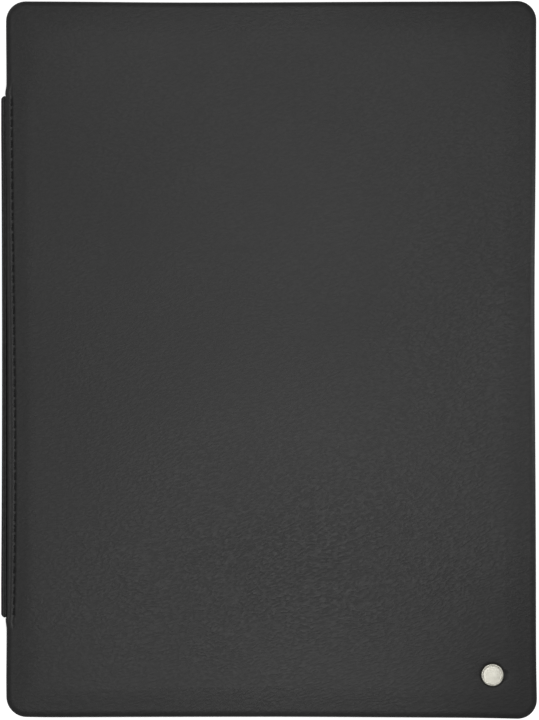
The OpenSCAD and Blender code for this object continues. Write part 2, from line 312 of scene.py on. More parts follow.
def leather(name, dark, light, wrinkled=False, grain=1.0, rough=(0.34, 0.45)):
    """Fine natural grain: streaks that rise to the right, small pebbles, and pores. What stands up is a little smoother
    from handling;
    its colour is paler and the hollows darker, partly from handling and partly as painted shade of the relief."""
    m, nt, b = material(name)
    k = Nodes(nt)
    co = k.mm()
    bend = k.noise(co, 0.018, 2.0).outputs["Color"]
    warp = k.noise(co, 0.24, 2.0).outputs["Color"]
    run = k.vadd(k.vadd(k.mm(turn=17, long=2.4), bend, 14.0), warp, 1.3)
    streak = k.span(k.noise(run, 1.18, 1.0, 0.40).outputs["Fac"], 0.32, 0.68)
    net = k.cells(k.vadd(k.mm(turn=18, long=1.9), warp, 1.5), 0.64).outputs["Distance"]
    pebble = k.span(net, 0.0, 0.30)
    pores = k.noise(co, 2.4, 3.0, 0.6).outputs["Fac"]
    # patches where the grain is fuller, and patches where it is pressed smooth
    patch = k.span(k.noise(co, 0.035, 3.0, 0.55).outputs["Fac"], 0.36, 0.64, 0.72, 1.0)
    if wrinkled:
        # fullest in the lower middle of the cover
        sep = k.new("ShaderNodeSeparateXYZ")
        k.link(co, sep.inputs[0])
        def spot(x, y, rx, ry):
            dx = k.math("DIVIDE", k.math("SUBTRACT", sep.outputs["X"], x), rx)
            dy = k.math("DIVIDE", k.math("SUBTRACT", sep.outputs["Y"], y), ry)
            r2 = k.math("ADD", k.math("MULTIPLY", dx, dx), k.math("MULTIPLY", dy, dy))
            return k.math("EXPONENT", k.math("MULTIPLY", r2, -1.0))
        where = k.math("MULTIPLY_ADD", spot(18.0, -86.0, 100.0, 44.0), 0.41, 0.29)
        where = k.math("MULTIPLY_ADD", spot(92.0, 15.0, 42.0, 75.0), 0.36, where)
        patch = k.math("MULTIPLY", patch, where)
    relief = k.math("MULTIPLY_ADD", streak, 0.62, k.math("MULTIPLY", pebble, 0.38))
    relief = k.math("MULTIPLY", k.math("SUBTRACT", relief, 0.55), patch)
    h = k.math("MULTIPLY_ADD", k.math("MULTIPLY", pores, k.math("MULTIPLY_ADD", patch, 0.5, 0.5)), 0.15, relief)
    # sparse hairline creases that wander through the grain
    hair = k.cells(k.vadd(k.vadd(k.mm(turn=14, long=2.4), bend, 30.0), warp, 3.0), 0.13).outputs["Distance"]
    hair = k.span(hair, 0.0, 0.055, 1.0, 0.0)
    hair = k.math("MULTIPLY", hair, k.span(k.noise(co, 0.11, 2.0).outputs["Fac"], 0.50, 0.60))
    h = k.math("SUBTRACT", h, k.math("MULTIPLY", k.math("MULTIPLY", hair, patch), 0.30))
    tone = k.noise(co, 0.018, 3.0, 0.5).outputs["Fac"]
    fine = k.noise(co, 0.9, 3.0, 0.6).outputs["Fac"]
    tone_and_painted_shade = k.math("MULTIPLY_ADD", fine, 0.35, k.math("MULTIPLY", tone, 0.40))
    # painted shade of the relief: the grain's hollows darker and what stands up paler, partly also handling
    tone_and_painted_shade = k.math("ADD", tone_and_painted_shade, k.math("MULTIPLY", relief, 0.55))
    worn = k.math("SUBTRACT", k.math("MULTIPLY", fine, 0.5), relief)
    if wrinkled:
        # duller at the corner below the badge, and along the top edge away from its middle; there the colour is also
        # darkened as painted shade
        dull_and_painted_shade = spot(114.0, -152.0, 42.0, 46.0)
        dull_and_painted_shade = k.math("MULTIPLY_ADD", spot(116.0, 152.0, 62.0, 17.0), 0.85, dull_and_painted_shade)
        dull_and_painted_shade = k.math("MULTIPLY_ADD", spot(-96.0, 152.0, 66.0, 14.0), 0.60, dull_and_painted_shade)
        # painted shade: the colour is darkened in these spots, while the roughness below is real dullness
        tone_and_painted_shade = k.math("SUBTRACT", tone_and_painted_shade, k.math("MULTIPLY", dull_and_painted_shade, 0.30))
        worn = k.math("MULTIPLY_ADD", dull_and_painted_shade, 0.85, worn)
    k.link(k.blend(k.span(tone_and_painted_shade, 0.12, 0.64, 0, 1, "LINEAR"), dark, light), b.inputs["Base Color"])
    k.link(k.span(worn, -0.25, 0.75 + 0.75, rough[0], rough[1] + 0.75 * (rough[1] - rough[0]), "LINEAR"), b.inputs["Roughness"])
    b.inputs["Specular IOR Level"].default_value = 0.5
    k.link(k.bump(h, 0.6, 0.165 * grain), b.inputs["Normal"])
    return m


def plastic(name, dark, light):
    """Moulded tray: fine spark-eroded texture, a little polished by use."""
    m, nt, b = material(name)
    k = Nodes(nt)
    co = k.mm()
    spark = k.noise(co, 5.5, 3.0, 0.6).outputs["Fac"]
    flow = k.noise(k.mm(long=5.0), 0.06, 2.0).outputs["Fac"]
    k.link(k.blend(k.span(flow, 0.35, 0.65), dark, light), b.inputs["Base Color"])
    k.link(k.span(spark, 0.3, 0.7, 0.42, 0.58), b.inputs["Roughness"])
    k.link(k.bump(spark, 0.35, 0.05), b.inputs["Normal"])
    return m


def microfibre(name, dark, light):
    """Brushed suede-like nap: short fibres lying about one way, in cloudy strokes."""
    m, nt, b = material(name)
    k = Nodes(nt)
    co = k.mm()
    stroke = k.noise(k.mm(turn=62, long=2.8), 0.045, 3.0, 0.6).outputs["Fac"]
    fibre = k.noise(k.mm(turn=80, long=3.5), 4.2, 3.0, 0.7).outputs["Fac"]
    fleck = k.noise(co, 9.0, 2.0, 0.7).outputs["Fac"]
    mix = k.math("MULTIPLY_ADD", fibre, 0.45, k.math("MULTIPLY", stroke, 0.55))
    k.link(k.blend(k.span(mix, 0.32, 0.68), dark, light), b.inputs["Base Color"])
    k.link(k.span(stroke, 0.3, 0.7, 0.86, 0.98), b.inputs["Roughness"])
    b.inputs["Specular IOR Level"].default_value = 0.2
    b.inputs["Sheen Weight"].default_value = 0.35
    b.inputs["Sheen Roughness"].default_value = 0.55
    b.inputs["Sheen Tint"].default_value = (0.8, 0.8, 0.82, 1)
    h = k.math("MULTIPLY_ADD", fibre, 0.7, k.math("MULTIPLY", fleck, 0.3))
    k.link(k.bump(h, 0.6, 0.10), b.inputs["Normal"])
    return m


def fibreboard(name):
    m, nt, b = material(name)
    k = Nodes(nt)
    co = k.mm()
    fleck = k.noise(k.mm(long=2.0), 1.6, 5.0, 0.7).outputs["Fac"]
    shade = k.noise(co, 0.05, 3.0).outputs["Fac"]
    mix = k.math("MULTIPLY_ADD", fleck, 0.6, k.math("MULTIPLY", shade, 0.4))
    k.link(k.blend(k.span(mix, 0.3, 0.7), (0.22, 0.18, 0.14), (0.36, 0.31, 0.25)), b.inputs["Base Color"])
    k.link(k.span(fleck, 0.3, 0.7, 0.82, 0.95), b.inputs["Roughness"])
    k.link(k.bump(fleck, 0.4, 0.08), b.inputs["Normal"])
    return m


def foam(name):
    m, nt, b = material(name)
    k = Nodes(nt)
    co = k.mm()
    cell = k.span(k.cells(co, 2.6, "F1").outputs["Distance"], 0.1, 0.6)
    shade = k.noise(co, 0.08, 2.0).outputs["Fac"]
    mix = k.math("MULTIPLY_ADD", cell, 0.6, k.math("MULTIPLY", shade, 0.4))
    k.link(k.blend(mix, (0.05, 0.05, 0.052), (0.09, 0.09, 0.092)), b.inputs["Base Color"])
    k.link(k.span(cell, 0, 1, 0.85, 0.97), b.inputs["Roughness"])
    k.link(k.bump(cell, 0.5, 0.12), b.inputs["Normal"])
    return m


def waxed_thread(name):
    m, nt, b = material(name)
    k = Nodes(nt)
    hair = k.noise(k.mm(turn=90, long=3.3), 8.0, 3.0, 0.7).outputs["Fac"]
    k.link(k.blend(k.span(hair, 0.3, 0.7), (0.007, 0.007, 0.007), (0.022, 0.022, 0.022)), b.inputs["Base Color"])
    k.link(k.span(hair, 0.3, 0.7, 0.5, 0.75), b.inputs["Roughness"])
    k.link(k.bump(hair, 0.5, 0.05), b.inputs["Normal"])
    return m


def nickel(name):
    m, nt, b = material(name)
    k = Nodes(nt)
    co = k.mm()
    scuff = k.noise(k.mm(long=5.0), 1.1, 4.0, 0.65).outputs["Fac"]
    k.link(k.blend(k.span(scuff, 0.3, 0.7), (0.5, 0.5, 0.5), (0.62, 0.62, 0.63)), b.inputs["Base Color"])
    b.inputs["Metallic"].default_value = 1.0
    k.link(k.span(scuff, 0.3, 0.7, 0.18, 0.34), b.inputs["Roughness"])
    k.link(k.bump(scuff, 0.2, 0.02), b.inputs["Normal"])
    return m


def badge_metal(name, at):
    """Pale satin metal, turned: fine rings round the middle of the disc."""
    m, nt, b = material(name)
    k = Nodes(nt)
    co = k.mm(at=at)
    ln = k.new("ShaderNodeVectorMath", operation="LENGTH")
    flat = k.new("ShaderNodeVectorMath", operation="MULTIPLY")
    k.link(co, flat.inputs[0]); flat.inputs[1].default_value = (1, 1, 0)
    k.link(flat.outputs[0], ln.inputs[0])
    comb = k.new("ShaderNodeCombineXYZ")
    k.link(ln.outputs["Value"], comb.inputs[0])
    rings = k.noise(comb.outputs[0], 9.0, 3.0, 0.7).outputs["Fac"]
    cloud = k.noise(co, 0.5, 2.0).outputs["Fac"]
    mix = k.math("MULTIPLY_ADD", rings, 0.5, k.math("MULTIPLY", cloud, 0.5))
    k.link(k.blend(k.span(mix, 0.3, 0.7), (0.76, 0.74, 0.645), (0.92, 0.90, 0.80)), b.inputs["Base Color"])
    b.inputs["Metallic"].default_value = 1.0
    k.link(k.span(rings, 0.3, 0.7, 0.34, 0.46), b.inputs["Roughness"])
    k.link(k.bump(rings, 0.25, 0.02), b.inputs["Normal"])
    return m


MAT_COVER = leather("cover_leather_mat", (0.016, 0.016, 0.016), (0.042, 0.042, 0.0415), wrinkled=True)
MAT_LEATHER = leather("leather_mat", (0.014, 0.014, 0.014), (0.038, 0.038, 0.0375), grain=0.46)
# the hinge strip's leather is a darker copy of the leather: painted shade for the strip lying lower beside the cover's
# edge
MAT_STRIP_PAINTED_SHADE = leather("strip_leather_painted_shade_mat", (0.006, 0.006, 0.006), (0.018, 0.018, 0.0175), grain=0.46, rough=(0.38, 0.48))
MAT_SHELL = plastic("shell_mat", (0.016, 0.016, 0.017), (0.022, 0.022, 0.023))
MAT_FIBRE = microfibre("microfibre_mat", (0.040, 0.040, 0.043), (0.075, 0.075, 0.079))
MAT_BOARD = fibreboard("board_mat")
MAT_FOAM = foam("foam_mat")
MAT_THREAD = waxed_thread("thread_mat")
MAT_NICKEL = nickel("nickel_mat")
MAT_BADGE = badge_metal("badge_mat", (BD_X, BD_Y))


# ------------------------------------------------------------- cover leather
def crown(x, y):
    """Height of the padded panel's top; x from the middle of the cover."""
    full = 0.22 * (1 - np.clip(np.abs(x) / 110, 0, 1) ** 6) * (1 - np.clip(np.abs(y) / 149, 0, 1) ** 6)
    wave = 0.030 * np.sin(x / 31 + 0.7) * np.sin(y / 43 + 1.1) + 0.018 * np.sin((x + 0.7 * y) / 17)
    return Z_TOP + full + wave * smooth(0, 14, np.minimum(110 - np.abs(x), 149 - np.abs(y)))


def flange(x, y, holes=True):
    """How far the sewn hinge edge lies below the panel: falling a little to the edge, a valley under
    the thread, a dimple at each needle hole, then up to the padding."""
    dl = x + CV_W
    s = row_in(y) - sewn_in(y)
    zone = smooth(S0 - 5, S0, y) * (1 - smooth(S1, S1 + 5, y))
    z = -0.18 * (1 - smooth(s, s + 7.0, dl)) - 0.13 * np.clip((s - dl) / s, 0, 1)
    u = np.abs((y - ROW0) / PITCH % 1 - 0.5)
    under = 1 - smooth(0.31, 0.41, u)
    z = z - (0.05 + 0.11 * under) * np.exp(-((dl - s) / 0.46) ** 2)
    z = z - 0.05 * np.exp(-((dl - s + 1.55) / 0.45) ** 2)
    if holes:
        r2 = ((u - 0.34) * PITCH) ** 2 + (dl - s) ** 2
        z = z - 0.24 * np.exp(-r2 / 0.38 ** 2)
    return zone * z, zone


def shoulder(x, d, zone):
    """The padding thins out towards the edges."""
    return 0.34 * (1 - smooth(-2, 13, d)) * (1 - 0.6 * zone * (x < 0))


def cover_top(x, y, d, side):
    """Top of the cover at x, y, d inside the edge; side is how far the edge there rolls."""
    dz, zone = flange(x, y)
    base = crown(x, y) + dz - shoulder(x, d, zone)
    r = np.hypot(x + CV_X - BD_X, y - BD_Y)
    base = base - 0.50 * (1 - smooth(BD_R + 0.05, BD_R + 0.75, r)) - 0.10 * np.exp(-((r - BD_R) / 2.2) ** 2)
    e = np.where(x < 0, side + (0.8 - side) * zone, side)
    n = 2.35
    f = (1 - (1 - np.clip(d / e, 0, 1)) ** n) ** (1 / n)
    return 15.6 + (base - 15.6) * f


def bowed(x, y):
    """The edges pull in between the corners."""
    def hump(v, c, lo, hi):
        return np.exp(-((v - c) / np.where(v < c, lo, hi)) ** 2)
    x0, y0 = x, y
    inzone = smooth(S0 - 0.8, S0 + 0.6, y0) * (1 - smooth(S1 - 0.6, S1 + 0.8, y0))
    free = np.where(y0 > 0, 0.27 + 0.16 * smooth(141, 116, y0), 0.38 + 0.2 * smooth(-141, -114, y0))
    # the leather is drawn out to the strip just past its ends
    drawn = 0.50 * smooth(S1 + 5.0, S1 + 0.8, y0) + 0.42 * smooth(S0 - 5.0, S0 - 0.8, y0)
    left = (1 - inzone) * (free - drawn) + inzone * sewn_in(y0)

    def corner(sx, sy, r):
        return np.exp(-((x0 - sx * CV_W) ** 2 + (y0 - sy * CV_L) ** 2) / r ** 2)
    lr, tr, ll = corner(1, -1, 18), corner(1, 1, 16), corner(-1, -1, 11)
    x = (x0 - 0.62 * hump(y0, 24, 75, 55) * smooth(40, CV_W, x0) + left * smooth(40, CV_W, -x0)
         + 0.42 * lr + 0.12 * tr + 0.22 * ll)
    y = (y0 - 0.5 * hump(x0, -35, 45, 85) * smooth(40, CV_L, y0) + 0.52 * hump(x0, -5, 120, 72) * smooth(40, CV_L, -y0)
         - 0.46 * lr + 0.26 * tr + 0.30 * ll)
    return x, y


def side_roll(n):
    return (3.0 * np.maximum(n[:, 0], 0) ** 2 + 2.6 * np.maximum(-n[:, 0], 0) ** 2
            + 2.9 * np.maximum(n[:, 1], 0) ** 2 + 3.3 * np.maximum(-n[:, 1], 0) ** 2)


def cover_lines():
    a, b = CV_W - CV_R, CV_L - CV_R
    row_end = ROW0 + STITCHES * PITCH
    # a line at each needle hole, on the bridge between two stitches, and three along the thread
    within = np.array([0.0, 0.16, 0.33, 0.5, 0.67, 0.84])
    mid = np.append((ROW0 + PITCH * (np.arange(STITCHES)[:, None] + within)).ravel(), row_end)
    low = spaced(-b, ROW0, 1.25, [(BD_Y - 6.2, BD_Y + 6.2, 0.36)])
    high = spaced(row_end, b, 1.25)
    ys = np.concatenate([low[:-1], mid, high[1:]])
    bx = BD_X - CV_X
    xs = spaced(-a, a, 2.6, [(-a, -a + 2, 0.7), (bx - 6.2, bx + 6.2, 0.36)])
    return a, b, xs, ys


def make_cover():
    bd = Build()
    a, b, xs, ys = cover_lines()
    p, n = perimeter(a, b, xs, ys)
    roll = side_roll(n)

    def ring(d):
        q = p + (CV_R - d) * n
        return q[:, 0], q[:, 1]

    rings = []
    for d in (8.3, 7.4, 6.6, 5.9, 5.4, 5.0, 4.6, 4.25, 3.9, 3.6, 3.3, 3.0, 2.7, 2.4, 2.1, 1.8, 1.5,
              1.22, 0.96, 0.72, 0.5, 0.32, 0.18, 0.08, 0.02, 0.0):
        x, y = ring(d)
        z = cover_top(x, y, np.full(len(x), d), roll)
        x, y = bowed(x, y)
        rings.append(np.column_stack([x, y, z]))
    # wall, rolled lower edge and hem
    lower = [(0, 15.3), (0, 15.0), (0, 14.7)]
    lower += [(0.8 * (1 - math.cos(t)), 14.7 - 0.8 * math.sin(t)) for t in np.radians([18, 36, 54, 72, 90])]
    lower += [(1.5, 13.9), (2.2, 13.9), (3.0, 13.9), (3.6, 13.9), (3.85, 13.93), (3.96, 14.02), (4.0, 14.16), (4.0, 14.5)]
    for d, z in lower:
        x, y = ring(d)
        x, y = bowed(x, y)
        rings.append(np.column_stack([x, y, np.full(len(x), z)]))
    # inside of the leather, round the board and the padding
    for d, z in ((1.0, 14.5), (1.0, 15.4), (1.2, 15.75), (1.8, 16.2), (2.4, Z_PAD), (5.0, Z_PAD), (5.8, Z_PAD)):
        x, y = ring(d)
        zone = smooth(S0 - 1, S0, y) * (1 - smooth(S1, S1 + 1, y)) * (x < -CV_W + 5.4)
        z = np.minimum(z, np.where(zone > 0.5, 15.9, 99.0))
        rings.append(np.column_stack([x, y, z]))
    bd.grid(np.array(rings), closed_v=True)
    last = rings[-1]
    bd.fill(last, [], Z_PAD)
    # the panel inside the outermost ring
    gx, gy = np.meshgrid(xs, ys)
    d = np.minimum(CV_W - np.abs(gx), CV_L - np.abs(gy))
    gz = cover_top(gx.ravel(), gy.ravel(), d.ravel(), np.full(gx.size, 3.0)).reshape(gx.shape)
    wx, wy = bowed(gx, gy)
    bd.grid(np.stack([wx, wy, gz], axis=-1))
    for v in bd.v:
        v[:, 0] += CV_X
    o = piece("cover_leather_panel", bd, MAT_COVER, "cover", ["cover_leather"], angle=50)
    return o


# ---------------------------------------------------------------- flat sheets
def soft_plate(name, w, l, r, cx, z0, z1, mat, body, node, hole=None, edge=0.22, puff=0.0, step=6.0):
    """Sheet with round corners and softly rounded edges, with an optional slot through it."""
    bd = Build()
    a, b = w - r, l - r
    xs, ys = spaced(-a, a, step), spaced(-b, b, step)
    p, n = perimeter(a, b, xs, ys, 8)
    prof = []
    for t in np.radians([90, 67.5, 45, 22.5, 0]):
        prof.append((edge * (1 - math.cos(t)), z1 - edge * (1 - math.sin(t))))
    for t in np.radians([0, -22.5, -45, -67.5, -90]):
        prof.append((edge * (1 - math.cos(t)), z0 + edge * (1 + math.sin(t))))
    rings = []
    for d, z in prof:
        q = p + (r - d) * n
        rings.append(np.column_stack([q[:, 0] + cx, q[:, 1], np.full(len(q), z)]))
    bd.grid(np.array(rings), closed_v=True)
    top_hole, low_hole = [], []
    if hole:
        hl, hw = hole
        loft = []
        for g, z in prof:
            loft.append(lift(stadium(hl + 2 * g, hw + 2 * g), z))
        bd.grid(np.array(loft), closed_v=True)
        top_hole, low_hole = [loft[0]], [loft[-1]]
    bd.fill(rings[0], top_hole, z1)
    bd.fill(rings[-1], low_hole, z0)
    return piece(name, bd, mat, body, [node], angle=60)


# ----------------------------------------------------------------- rear half
def make_rear_leather():
    bd = Build()
    a, b = TR_W - TR_R, TR_L - TR_R
    xs, ys = spaced(-a, a, 4.0), spaced(-b, b, 4.0)
    p, n = perimeter(a, b, xs, ys, 10)
    prof = [(2 - 2 * math.sin(t), 2 - 2 * math.cos(t)) for t in np.radians([0, 12, 24, 36, 48, 60, 72, 82])]
    prof += [(0.01, 1.82), (0.07, 1.93), (0.2, 2.0), (1.0, 2.0)]
    prof += [(1 + 1 - math.cos(t), 2 - math.sin(t)) for t in np.radians([30, 60, 90])]
    rings = []
    for d, z in prof:
        q = p + (TR_R - d) * n
        rings.append(np.column_stack([q, np.full(len(q), z)]))
    bd.grid(np.array(rings), closed_v=True)
    # camera window, its edge turned in
    win = [(0.45 * (1 - math.sin(t)), 0.45 * (1 - math.cos(t))) for t in np.radians([0, 30, 60, 90])]
    loft = [lift(stadium(31.8 + 2 * g, 16.8 + 2 * g), z) for g, z in win] + [lift(stadium(31.8, 16.8), 1.0)]
    bd.grid(np.array(loft), closed_v=True)
    # the sewn line lies in a groove, pulled deeper at each needle hole
    gy = np.concatenate([[S0 + 0.1], ROW0 + PITCH / 5 * np.arange(5 * STITCHES + 1), [S1 - 0.1]])
    gx = np.array([-0.95, -0.78, -0.59, -0.4, -0.2, 0, 0.2, 0.4, 0.62, 0.9, 1.25])
    deep = np.array([0, 0.03, 0.14, 0.45, 0.68, 0.72, 0.68, 0.45, 0.14, 0.03, 0])
    gr = np.zeros((len(gy), len(gx), 3))
    for i, y in enumerate(gy):
        k = round((y - ROW0) / PITCH)
        hole = math.exp(-((y - ROW0 - k * PITCH) / 0.6) ** 2)
        end = 0 if i in (0, len(gy) - 1) else 1
        gr[i, :, 0] = REAR_ROW + gx
        gr[i, :, 1] = y
        gr[i, :, 2] = deep * end * (0.86 + 0.14 * hole)
    bd.grid(gr)
    rim = np.concatenate([gr[:, 0], gr[-1, 1:], gr[::-1, -1][1:], gr[0, ::-1][1:-1]])
    bd.fill(rings[0], [rim, loft[0]], 0.0)
    bd.fill(rings[-1], [loft[-1]], 1.0)
    return piece("rear_leather_panel", bd, MAT_LEATHER, "rear_tray", ["rear_leather"], angle=45)


def band_height(x, y):
    """Top of the leather band round the tray: high at the corners, low along the sides, cut down at
    the ports, the buttons and the connector."""
    along_y = np.abs(x) > TR_W - 0.5
    along_x = np.abs(y) > TR_L - 0.5
    h = np.full(len(x), 13.2)
    low_y = smooth(115.9, 114.5, np.abs(y))
    low_x = smooth(76.9, 75.5, np.abs(x))
    h = np.where(along_y, 13.2 - 1.2 * low_y, h)
    h = np.where(along_x, 13.2 - 1.2 * low_x, h)

    def cut(h, on, v, lo, hi):
        w = smooth(lo - 1.1, lo + 0.1, v) * (1 - smooth(hi - 0.1, hi + 1.1, v))
        return np.where(on, h + (3.6 - h) * w, h)
    h = cut(h, along_y & (x > 0), y, 19, 71)
    h = cut(h, along_x & (y > 0), x, -71, -19)
    h = cut(h, along_x & (y < 0), x, -56, 56)
    return h


def make_edge_band():
    bd = Build()
    a, b = TR_W - TR_R, TR_L - TR_R

    def near(marks):
        return [(m - 1.5, m + 1.5, 0.12) for m in sorted(marks)]
    ys = spaced(-b, b, 3.0, near([-115.2, 18.6, 71.4, 115.2]))
    xs = spaced(-a, a, 3.0, near([-76.2, -71.4, -56.4, -18.6, 56.4, 76.2]))
    p, n = perimeter(a, b, xs, ys, 12)
    edge = p + TR_R * n
    h = band_height(edge[:, 0], edge[:, 1])
    prof = [(1.0, 2.0, 0), (0.26, 2.0, 0), (0.08, 2.08, 0), (0.0, 2.26, 0), (0.0, -0.45, 1), (0.05, -0.24, 1), (0.2, -0.07, 1),
            (0.42, 0.0, 1), (0.58, 0.0, 1), (0.8, -0.07, 1), (0.95, -0.24, 1), (1.0, -0.45, 1)]
    rings = []
    for d, z, top in prof:
        q = p + (TR_R - d) * n
        rings.append(np.column_stack([q, h + z if top else np.full(len(q), z)]))
    bd.grid(np.array(rings), closed_u=True, closed_v=True)
    return piece("rear_edge_band_leather", bd, MAT_LEATHER, "rear_tray", ["rear_edge_band"], angle=50)


# ------------------------------------------------------- strip and its flaps
def along_strip(name, profile, y0, y1, mat, body, node, shift=None, rounded=0.4, step=4.0, angle=50):
    """Sweeps a closed section (x, z) along the strip. Both ends are rounded over."""
    prof = np.asarray(profile, float)
    nxt, prv = np.roll(prof, -1, 0), np.roll(prof, 1, 0)
    t = nxt - prv
    t /= np.linalg.norm(t, axis=1)[:, None]
    area = 0.5 * np.sum(prof[:, 0] * nxt[:, 1] - nxt[:, 0] * prof[:, 1])
    nrm = np.column_stack([t[:, 1], -t[:, 0]]) * (1 if area > 0 else -1)
    st = [(y0 + rounded * (1 - math.cos(u)), rounded * (1 - math.sin(u))) for u in np.radians([0, 22, 45, 67])]
    st += [(y, 0.0) for y in spaced(y0 + rounded, y1 - rounded, step)]
    st += [(y1 - rounded * (1 - math.cos(u)), rounded * (1 - math.sin(u))) for u in np.radians([67, 45, 22, 0])]
    secs = []
    for y, e in st:
        q = prof - nrm * e
        back = np.zeros(len(q))
        if shift:
            q, back = shift(q, y)
        secs.append(np.column_stack([q[:, 0], y + back, q[:, 1]]))
    bd = Build()
    bd.grid(np.array(secs), closed_v=True)
    m = len(prof)
    bd.add(secs[0], [list(range(m))])
    bd.add(secs[-1], [list(range(m))[::-1]])
    return piece(name, bd, mat, body, [node], angle=angle)


def arc(cx, cz, r, a0, a1, n):
    return [(cx + r * math.cos(math.radians(t)), cz + r * math.sin(math.radians(t))) for t in np.linspace(a0, a1, n)]


def flat(u, v):
    """A round bead's upper side pressed a little flatter and broader."""
    if v <= 0:
        return 1.0
    n = 3.0
    return BEAD / ((abs(u) ** n + abs(v) ** n) ** (1 / n))


def make_spine():
    prof = [(AX + (x - AX) * flat(x - AX, z - AX_HI), AX_HI + (z - AX_HI) * flat(x - AX, z - AX_HI))
            for x, z in arc(AX, AX_HI, BEAD, -58, 216, 40)]
    prof += [(AX - 0.66, AX_HI - 0.80), (AX - 0.645, AX_HI - 0.92), (AX - 0.68, AX_HI - 1.05), (AX - 0.80, AX_HI - 1.22),
             (AX - 0.91, AX_HI - 1.45), (AX - 0.95, AX_HI - 1.75)]
    prof += [(AX - 0.95, z) for z in np.linspace(AX_HI - 3, AX_LO + 3, 9)]
    prof += [(AX - 0.95, AX_LO + 1.75), (AX - 0.91, AX_LO + 1.45), (AX - 0.80, AX_LO + 1.22), (AX - 0.68, AX_LO + 1.05),
             (AX - 0.645, AX_LO + 0.92), (AX - 0.66, AX_LO + 0.80)]
    prof += arc(AX, AX_LO, BEAD, 144, 418, 34)
    prof += [(AX + 0.40, AX_LO + 1.05), (AX + 0.36, AX_LO + 1.3)]
    prof += [(AX + 0.35, z) for z in np.linspace(AX_LO + 2, AX_HI - 2, 9)]
    prof += [(AX + 0.36, AX_HI - 1.3), (AX + 0.40, AX_HI - 1.05)]

    def shift(q, y):
        # the strip bows in at the middle of its length, and its ends are cut round on the outside
        u = np.clip((y - (S0 + S1) / 2) / ((S1 - S0) / 2), -1, 1)
        w = smooth(AX - 0.15, AX - 0.95, q[:, 0])
        wall = smooth(AX_LO + 1.0, AX_LO + 1.7, q[:, 1]) * smooth(AX_HI - 1.0, AX_HI - 1.7, q[:, 1])
        s = 0.47 * (1 - u * u) - 0.12
        out = q.copy()
        out[:, 0] += w * (max(s, 0.0) + min(s, 0.0) * wall)
        side = np.clip((AX + 0.75 - q[:, 0]) / 1.7, 0, 1) ** 2
        near = smooth(4.5, 0.0, min(y - S0, S1 - y))
        back = 1.25 * side * near * (1 if y < 0 else -1)
        return out, back
    return along_strip("spine_leather_strip", prof, S0, S1, MAT_STRIP_PAINTED_SHADE, "spine", "spine_leather",
                       shift=shift, rounded=0.34, step=1.0)


def make_flaps():
    # upper flap: a tongue with a hollow end and a lip that leans over the bead, thicker inside the cover
    main = -CV_W + CV_X + 1.9
    prof = arc(AX, AX_HI, 1.1, 50, -28, 14)
    prof += [(AX + 1.1, AX_HI - 0.5), (main, AX_HI - 0.5), (main + 0.2, 14.52), (-104.45, 14.52), (-104.4, 14.6), (-104.4, 15.8),
             (-104.45, 15.88), (main + 0.3, 15.88), (main, AX_HI + 0.5), (AX + 1.75, AX_HI + 0.44), (AX + 1.61, AX_HI + 0.3),
             (AX + 1.55, AX_HI - 0.1), (AX + 1.49, AX_HI + 0.35), (AX + 1.40, AX_HI + 0.68), (AX + 1.25, AX_HI + 0.85),
             (AX + 1.05, AX_HI + 0.93), (AX + 0.85, AX_HI + 0.935)]
    along_strip("cover_flap_leather", prof, S0 + 0.2, S1 - 0.2, MAT_LEATHER, "cover", "cover_hinge_flap", rounded=0.2)
    lo = arc(AX, AX_LO, GROOVE, 28, -28, 9)
    prof = lo + [(AX + 1.05, AX_LO - 0.5), (-100, AX_LO - 0.5), (-95.1, AX_LO - 0.5), (-95, AX_LO - 0.4), (-95, AX_LO + 0.4),
                 (-95.1, AX_LO + 0.5), (-100, AX_LO + 0.5), (AX + 1.05, AX_LO + 0.5)]
    along_strip("rear_flap_leather", prof, S0, S1, MAT_LEATHER, "rear_tray", "rear_hinge_flap", rounded=0.2)


def make_spine_lining():
    z0, z1, x0, x1, r = AX_LO + 1.3, AX_HI - 1.3, AX + 0.35, AX + 0.85, 0.22
    prof = [(x0, z0), (x1 - r, z0)] + arc(x1 - r, z0 + r, r, -67, 0, 4) + [(x1, z) for z in np.linspace(z0 + 1, z1 - 1, 7)]
    prof += arc(x1 - r, z1 - r, r, 0, 67, 4) + [(x1 - r, z1), (x0, z1)]
    prof += [(x0, z) for z in np.linspace(z1 - 1, z0 + 1, 7)]
    o = along_strip("spine_lining_sheet", prof, S0, S1, MAT_FIBRE, "spine", "spine_lining", rounded=0.15)


# ------------------------------------------------------------------ stitching
def thread(build, path, r, turns, phase):
    """Two plies twisted round each other along a path."""
    path = np.asarray(path, float)
    t = np.gradient(path, axis=0)
    t /= np.linalg.norm(t, axis=1)[:, None]
    e1 = np.array([1.0, 0, 0]) - t * t[:, :1]
    e1 /= np.linalg.norm(e1, axis=1)[:, None]
    e2 = np.cross(t, e1)
    s = np.concatenate([[0], np.cumsum(np.linalg.norm(np.diff(path, axis=0), axis=1))])
    s /= s[-1]
    sides = 6
    for ply in range(2):
        f = 2 * np.pi * turns * s + phase + np.pi * ply
        c = path + 0.46 * r * (np.cos(f)[:, None] * e1 + np.sin(f)[:, None] * e2)
        rings = []
        for k in range(sides):
            g = 2 * np.pi * k / sides
            rings.append(c + 0.56 * r * (math.cos(g) * e1 + math.sin(g) * e2))
        p = np.stack(rings, axis=1)
        build.grid(p, closed_v=True)
        build.add(p[0], [list(range(sides))])
        build.add(p[-1], [list(range(sides))[::-1]])


